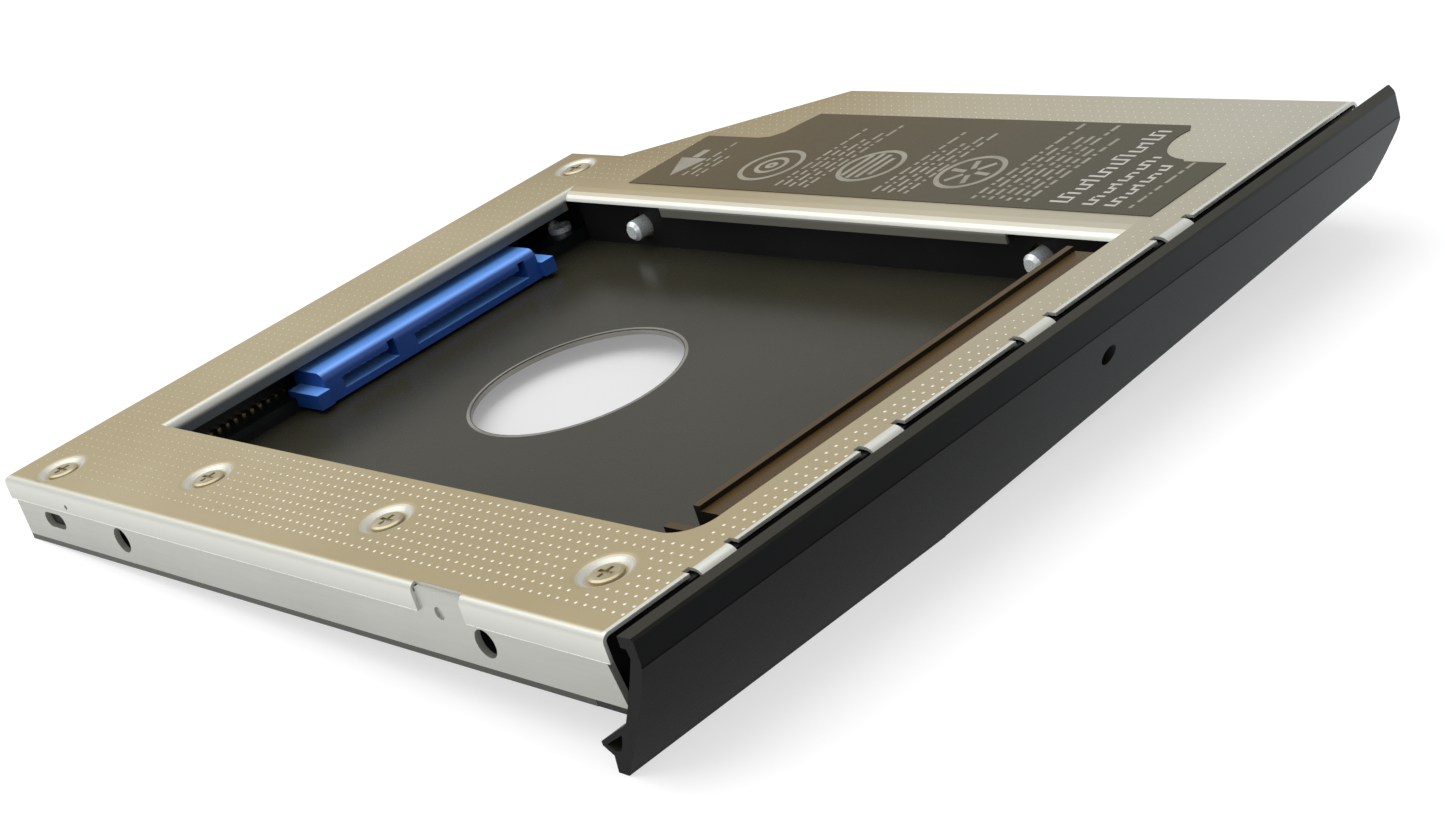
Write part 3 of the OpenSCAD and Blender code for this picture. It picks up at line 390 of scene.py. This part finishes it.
def instance_tree(name, material, shape):
    """A node tree that puts one small shape on every point, sized by the point's stretch."""
    tree = bpy.data.node_groups.new(name, "GeometryNodeTree")
    face = tree.interface
    face.new_socket("Points", in_out="INPUT", socket_type="NodeSocketGeometry")
    face.new_socket("Width", in_out="INPUT", socket_type="NodeSocketFloat")
    face.new_socket("Height", in_out="INPUT", socket_type="NodeSocketFloat")
    face.new_socket("Result", in_out="OUTPUT", socket_type="NodeSocketGeometry")
    make, join = tree.nodes.new, tree.links.new
    given, out = make("NodeGroupInput"), make("NodeGroupOutput")
    if shape == "dome":
        form = make("GeometryNodeMeshCone")
        form.inputs["Vertices"].default_value = 8
        half = make("ShaderNodeMath")
        half.operation = "MULTIPLY"
        half.inputs[1].default_value = 0.5
        top = make("ShaderNodeMath")
        top.operation = "MULTIPLY"
        top.inputs[1].default_value = 0.26
        join(given.outputs["Width"], half.inputs[0])
        join(given.outputs["Width"], top.inputs[0])
        join(half.outputs[0], form.inputs["Radius Bottom"])
        join(top.outputs[0], form.inputs["Radius Top"])
        join(given.outputs["Height"], form.inputs["Depth"])
    else:
        form = make("GeometryNodeMeshCube")
        size = make("ShaderNodeCombineXYZ")
        for axis, source in (("X", "Width"), ("Y", "Width"), ("Z", "Height")):
            join(given.outputs[source], size.inputs[axis])
        join(size.outputs[0], form.inputs["Size"])
    stretch = make("GeometryNodeInputNamedAttribute")
    stretch.data_type = "FLOAT_VECTOR"
    stretch.inputs["Name"].default_value = "stretch"
    place = make("GeometryNodeInstanceOnPoints")
    real, paint = make("GeometryNodeRealizeInstances"), make("GeometryNodeSetMaterial")
    paint.inputs["Material"].default_value = material
    join(given.outputs["Points"], place.inputs["Points"])
    join(form.outputs["Mesh"], place.inputs["Instance"])
    join(stretch.outputs["Attribute"], place.inputs["Scale"])
    join(place.outputs["Instances"], real.inputs["Geometry"])
    join(real.outputs["Geometry"], paint.inputs["Geometry"])
    join(paint.outputs["Geometry"], out.inputs["Result"])
    return tree


def repeat_on_points(name, points, stretches, width, height, material, shape):
    """Small equal shapes, one on each point, made by a node tree and then turned into a plain mesh."""
    mesh = bpy.data.meshes.new(name + "_points")
    mesh.from_pydata(points, [], [])
    layer = mesh.attributes.new("stretch", "FLOAT_VECTOR", "POINT")
    layer.data.foreach_set("vector", [c for v in stretches for c in v])
    host = bpy.data.objects.new(name, mesh)
    scene.collection.objects.link(host)
    tree = instance_tree(name + "_tree", material, shape)
    modifier = host.modifiers.new("shapes", "NODES")
    modifier.node_group = tree
    for item in tree.interface.items_tree:
        if item.in_out == "INPUT" and item.name in ("Width", "Height"):
            modifier[item.identifier] = {"Width": width, "Height": height}[item.name]
    bpy.context.view_layer.update()
    evaluated = host.evaluated_get(bpy.context.evaluated_depsgraph_get())
    plain = bpy.data.meshes.new_from_object(evaluated)
    host.modifiers.remove(modifier)
    host.data = plain
    if not plain.materials:
        plain.materials.append(material)
    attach(host, "body")
    return host


LABEL_OUTLINE = [(29.75, -57.65), (44.6, -57.65), (44.6, -51.05), (46.5, -47.5), (50, -44.5),
                 (54.8, -44.45), (54.8, 23.4), (46.3, 27.0), (46.1, 38), (29.75, 38.95)]


def inside(outline, x, y):
    found = False
    for (ax, ay), (bx, by) in zip(outline, outline[1:] + outline[:1]):
        if (ay > y) != (by > y) and x < (bx - ax) * (y - ay) / (by - ay) + ax:
            found = not found
    return found


DOT_PITCH_X, DOT_PITCH_Y = 1.54, 1.49
DOT_WIDTH, DOT_HEIGHT = 0.42 * MM, 0.02 * MM
DIMPLE_CLEARANCE, TAB_CLEARANCE = 4.3, 1.6
TAB_STARTS = [-50.85 + i * 25.3 for i in range(4)]
TAB_WIDTH = 4.9


def dot_points():
    """The grid of pressed dots on the flat of the cover, clear of edges, dimples, tabs and label."""
    points, sizes = [], []
    for i in range(-8, 76):
        for j in range(0, 84):
            x, y = -50.86 + i * DOT_PITCH_X, -62.05 + j * DOT_PITCH_Y
            if not (-61.2 < x < 62.2 and y < 60.8):
                continue
            if x + y > STEP_X / MM + STEP_Y / MM - 2.2 or (x > 37.3 and y > 50.5):
                continue
            if -47.3 < x < 29.6 and -57.6 < y < 50.9:
                continue
            if min((x - a) ** 2 + (y - b) ** 2 for a, b in DIMPLES) < DIMPLE_CLEARANCE ** 2:
                continue
            corners = [(x + a, y + b) for a in (-0.6, 0.6) for b in (-0.6, 0.6)]
            if any(inside(LABEL_OUTLINE, *corner) for corner in corners):
                continue
            if y < -60.9 and any(
                    s - TAB_CLEARANCE < x < s + TAB_WIDTH + TAB_CLEARANCE for s in TAB_STARTS):
                continue
            if x < -46:
                fade = max(0.4, min(1.0, (48 - y) / 44))
            else:
                fade = max(0.42, min(1.0, (30 - x) / 44))
            if y > 50:
                fade = 0.4
            points.append((x * MM, y * MM, TOP + 0.004 * MM))
            sizes.append((fade, fade, 1))
    return points, sizes


def make_dots():
    points, sizes = dot_points()
    repeat_on_points("cover_dots", points, sizes, DOT_WIDTH, DOT_HEIGHT, dot_glint_metal, "dome")


# Printed lines: first y, number of lines, pitch, left, right, height of a stroke
PRINT_BLOCKS = [
    (30.6, 3, 1.5, 33.0, 44.0, 0.5), (9.6, 5, 1.45, 31.6, 51.0, 0.55),
    (-9.4, 5, 1.45, 31.6, 50.5, 0.55),
    (-27.4, 7, 1.5, 31.4, 53.0, 0.6), (-53.1, 1, 1.0, 31.4, 44.0, 0.5),
]


def make_print_lines():
    """Rows of short strokes that stand for small print."""
    points, stretches, step = [], [], 0
    for first, rows, pitch, left, right, tall in PRINT_BLOCKS:
        for row in range(rows):
            x, y = left + 0.4 * (row % 2), first - row * pitch
            end = right - (3.4 * ((row * 7) % 4)) * 0.6
            while x < end:
                step += 1
                wide = 0.5 + 0.42 * ((step * 37) % 5)
                points.append(((x + wide / 2) * MM, y * MM, label_high.z + 0.004 * MM))
                stretches.append((wide, tall, 1))
                x += wide + 0.45 + 0.15 * ((step * 13) % 3)
    repeat_on_points("label_print", points, stretches, 1 * MM, 0.006 * MM, label_ink, "bar")


# How thick the label marks are, and how far their top stands over the label
MARK_SHEET, MARK_RISE = 0.004 * MM, 0.006 * MM


def ring(bm, x, y, outer, inner, z, count=48):
    low = z - MARK_SHEET
    loops = []
    for radius, level in ((outer, low), (outer, z), (inner, z), (inner, low)):
        turns = [2 * math.pi * k / count for k in range(count)]
        loops.append([bm.verts.new((x * MM + radius * MM * math.cos(t),
                                    y * MM + radius * MM * math.sin(t), level)) for t in turns])
    for k in range(count):
        n = (k + 1) % count
        for i in range(4):
            a, b = loops[i], loops[(i + 1) % 4]
            bm.faces.new((a[k], a[n], b[n], b[k]))


def patch(bm, outline, z):
    high = [bm.verts.new((x * MM, y * MM, z)) for x, y in outline]
    low = [bm.verts.new((x * MM, y * MM, z - MARK_SHEET)) for x, y in outline]
    bm.faces.new(high)
    bm.faces.new(low[::-1])
    for k in range(len(high)):
        n = (k + 1) % len(high)
        bm.faces.new((high[n], high[k], low[k], low[n]))


def thick_line(bm, ax, ay, bx, by, wide, z):
    dx, dy = bx - ax, by - ay
    n = math.hypot(dx, dy)
    ox, oy = -dy / n * wide / 2, dx / n * wide / 2
    patch(bm, [(ax + ox, ay + oy), (ax - ox, ay - oy), (bx - ox, by - oy), (bx + ox, by + oy)], z)


def make_label_marks():
    """Plain marks that carry no meaning: rings with simple fillings, a wedge and blocks for a heading."""
    z = label_high.z + MARK_RISE
    bm = bmesh.new()
    for x, y in ((37.6, 16.4), (39.0, -2.1), (38.7, -20.7)):
        ring(bm, x, y, 5.0, 4.25, z)
    ring(bm, 37.6, 16.4, 2.6, 1.9, z, 32)
    ring(bm, 37.6, 16.4, 1.0, 0.3, z, 24)
    for k in range(4):
        half = (3.3, 3.9, 3.6, 2.6)[k]
        y = -0.1 - 1.5 * k + 0.6
        thick_line(bm, 39.0 - half, y, 39.0 + half, y, 0.75, z)
    for k in range(6):
        t = math.pi * k / 3 + 0.4
        thick_line(bm, 38.7 + 1.0 * math.cos(t), -20.7 + 1.0 * math.sin(t),
                   38.7 + 3.6 * math.cos(t), -20.7 + 3.6 * math.sin(t), 0.8, z)
    patch(bm, [(32.6, 33.0), (38.6, 31.2), (38.6, 36.8)], z)
    patch(bm, [(38.8, 33.4), (41.4, 33.4), (41.4, 34.8), (38.8, 34.8)], z)
    mesh = mesh_from("label_marks", bm, label_ink)
    new_piece("label_marks", mesh)
    bm = bmesh.new()
    for first, count, pitch, low, tall in ((31.8, 18, 1.22, -43.0, 3.0), (31.6, 13, 1.12, -47.2, 1.8),
                                           (31.6, 11, 1.12, -50.7, 1.8)):
        for k in range(count):
            x, rise = first + pitch * k, tall * (1.0, 0.72, 0.72, 0.9, 0.62)[(k * 3) % 5]
            patch(bm, [(x, low), (x + 0.42, low), (x + 0.42, low + rise), (x, low + rise)], z)
            if k % 3 != 2 and k < count - 1:
                level = low + (0.0, rise / 2, rise - 0.36)[(k * 2) % 3]
                near, far = x + 0.44, x + pitch - 0.02
                patch(bm, [(near, level), (far, level), (far, level + 0.34), (near, level + 0.34)], z)
    new_piece("label_heading", mesh_from("label_heading", bm, label_bright))


def lathe(name, profile, centre, material, count=128):
    """A closed ring with the given section."""
    bm = bmesh.new()
    turns = []
    for k in range(count):
        t = 2 * math.pi * k / count
        turns.append([bm.verts.new((centre.x + r * MM * math.cos(t),
                                    centre.y + r * MM * math.sin(t), z * MM)) for r, z in profile])
    for k in range(count):
        a, b = turns[k], turns[(k + 1) % count]
        for i in range(len(profile)):
            n = (i + 1) % len(profile)
            bm.faces.new((a[i], a[n], b[n], b[i]))
    new_piece(name, mesh_from(name, bm, material))


def prism(bm, section, start, end, axis):
    """A closed bar with a section in the two other axes, from start to end along X or Y, in millimetres."""
    ends = []
    for at in (start, end):
        ends.append([bm.verts.new((at * MM, a * MM, b * MM) if axis == "X"
                                  else (a * MM, at * MM, b * MM)) for a, b in section])
    bm.faces.new(ends[0])
    bm.faces.new(ends[1][::-1])
    n = len(section)
    for i in range(n):
        bm.faces.new((ends[0][i], ends[0][(i + 1) % n], ends[1][(i + 1) % n], ends[1][i]))


def make_edge_lines():
    """Thin strips along the cover's front and under its left skirt: sheared edges with a painted highlight."""
    front, top, left = FRONT / MM, TOP / MM, LEFT / MM
    beside_tabs = [v for s in TAB_STARTS for v in (s - 1.05, s + TAB_WIDTH + 1.05)]
    cuts = [left + 1.2] + beside_tabs + [RIGHT / MM - 1.2]
    bm = bmesh.new()
    for start, end in zip(cuts[::2], cuts[1::2]):
        section = [(front - 0.012, top - 0.10), (front + 0.13, top + 0.008), (front + 0.13, top - 0.10)]
        prism(bm, section, start, end, "X")
    new_piece("front_edge_highlight", mesh_from("front_edge_highlight", bm, edge_highlight_metal))
    bm = bmesh.new()
    low = top - SKIRT_HEIGHT
    for start, end in ((front + 0.1, -39.2), (-30.3, REAR / MM - 1.2)):
        section = [(left - 0.01, low - 0.005), (left - 0.01, low + 0.10), (left + 0.15, low - 0.005)]
        prism(bm, section, start, end, "Y")
    new_piece("skirt_edge_highlight", mesh_from("skirt_edge_highlight", bm, edge_highlight_metal))


make_dots()
make_print_lines()
make_label_marks()
FINGER_HOLE_SECTION = [(14.46, 0.02), (14.46, 0.62), (14.60, 0.815), (15.0, 0.815), (15.05, 0.78),
                       (14.7, 0.5)]
lathe("finger_hole_edge", FINGER_HOLE_SECTION, HOLE_CENTRE, hole_edge)
make_edge_lines()

# ---------------------------------------------------------------- floor and light
FLOOR_HALF = 3.0
WORLD_LIGHT, TOP_POWER, LEFT_POWER = 0.62, 30.0, 2.0


def make_floor():
    """A pale plane under the two lines the caddy rests on: the bezel's lower edge and the base's rear edge."""
    rear = Vector((0, base_high.y, 0))
    foot = Vector((0, FRONT + 3.9 * MM, bezel_low.z))
    along = (rear - foot).normalized()
    mesh = bpy.data.meshes.new("studio_floor")
    corners = [rear + Vector((x * FLOOR_HALF, 0, 0)) + along * y * FLOOR_HALF
               for x, y in ((-1, -1), (1, -1), (1, 1), (-1, 1))]
    mesh.from_pydata(corners, [], [(0, 1, 2, 3)])
    floor = bpy.data.objects.new("studio_floor", mesh)
    scene.collection.objects.link(floor)
    material, tree, shader = new_material("floor_paper")
    place = place_of_surface(tree)
    apart = tree.nodes.new("ShaderNodeSeparateXYZ")
    tree.links.new(place, apart.inputs["Vector"])
    # painted shade: the floor glows less near the finger hole's centre, least within 26 mm, fully from 36 mm,
    # so it looks darker through the hole
    dx = maths(tree, "SUBTRACT", apart.outputs["X"], HOLE_CENTRE.x)
    dy = maths(tree, "SUBTRACT", apart.outputs["Y"], HOLE_CENTRE.y)
    squares = maths(tree, "ADD", maths(tree, "MULTIPLY", dx, dx), maths(tree, "MULTIPLY", dy, dy))
    far = maths(tree, "SQRT", squares)
    tree.links.new(spread(tree, far, 26 * MM, 36 * MM, 0.27, 0.62), shader.inputs["Emission Strength"])
    shader.inputs["Emission Color"].default_value = (1, 1, 1, 1)
    shader.inputs["Base Color"].default_value = (0.42, 0.42, 0.425, 1)
    shader.inputs["Roughness"].default_value = 0.9
    shader.inputs["Specular IOR Level"].default_value = 0.1
    mesh.materials.append(material)


def softbox(name, place, aim, size, power):
    data = bpy.data.lights.new(name, "AREA")
    data.shape, data.size, data.size_y = "RECTANGLE", size[0], size[1]
    data.energy = power
    lamp = bpy.data.objects.new(name, data)
    scene.collection.objects.link(lamp)
    place, aim = Vector(place), Vector(aim)
    lamp.rotation_mode = "QUATERNION"
    lamp.rotation_quaternion = (aim - place).to_track_quat("-Z", "Y")
    lamp.location = place


make_floor()
world = bpy.data.worlds.new("studio_world")
scene.world = world
world.use_nodes = True
world.node_tree.nodes["Background"].inputs["Color"].default_value = (1, 1, 1, 1)
world.node_tree.nodes["Background"].inputs["Strength"].default_value = WORLD_LIGHT
softbox("top_softbox", (-0.2, 0.5, 1.5), (0, 0, 0), (2.2, 2.2), TOP_POWER)
softbox("left_softbox", (-1.2, -0.3, 0.3), (0, 0, 0), (0.8, 0.5), LEFT_POWER)
